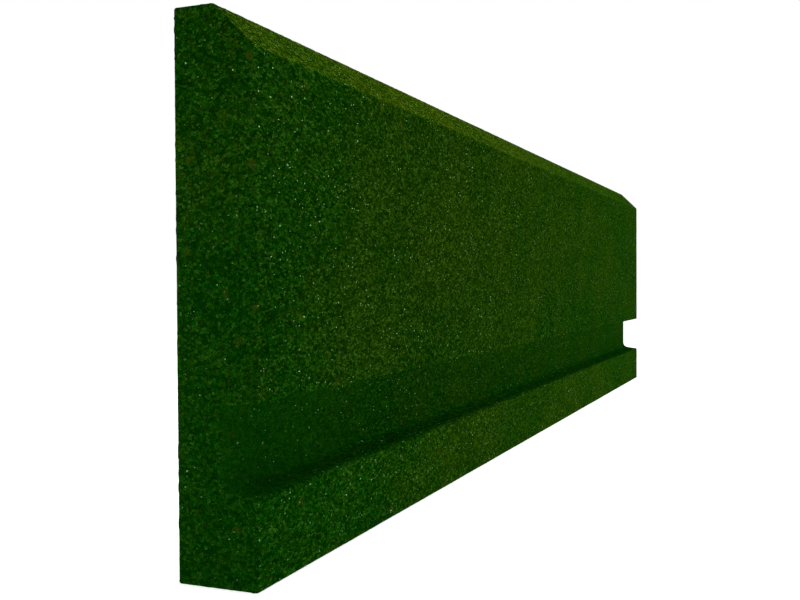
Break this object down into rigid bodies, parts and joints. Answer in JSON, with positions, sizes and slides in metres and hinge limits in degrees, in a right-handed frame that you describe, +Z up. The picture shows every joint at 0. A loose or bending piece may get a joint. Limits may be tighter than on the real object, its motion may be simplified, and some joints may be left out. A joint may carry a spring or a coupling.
{
  "type": "rubber edging board",
  "caption": "Straight dark green rubber-granulate edging board with a bevelled top front edge and a full-length open-ended mounting groove low in its front face.",
  "frame": {"origin": "middle of the underside, where the board stands on the ground", "axes": "+X along the board, -Y out of the grooved front face, +Y out of the plain back, +Z up"},
  "size_m": [1, 0.04, 0.25],
  "materials": {
    "fine_granules": "dark green bonded fine rubber granules, matt, with small glossy facets",
    "coarse_granules": "dark green bonded coarse rubber granules, matt"
  },
  "bodies": {
    "root": {"face_layer": "fine_granules", "core_board": "coarse_granules"}
  },
  "joints": []
}
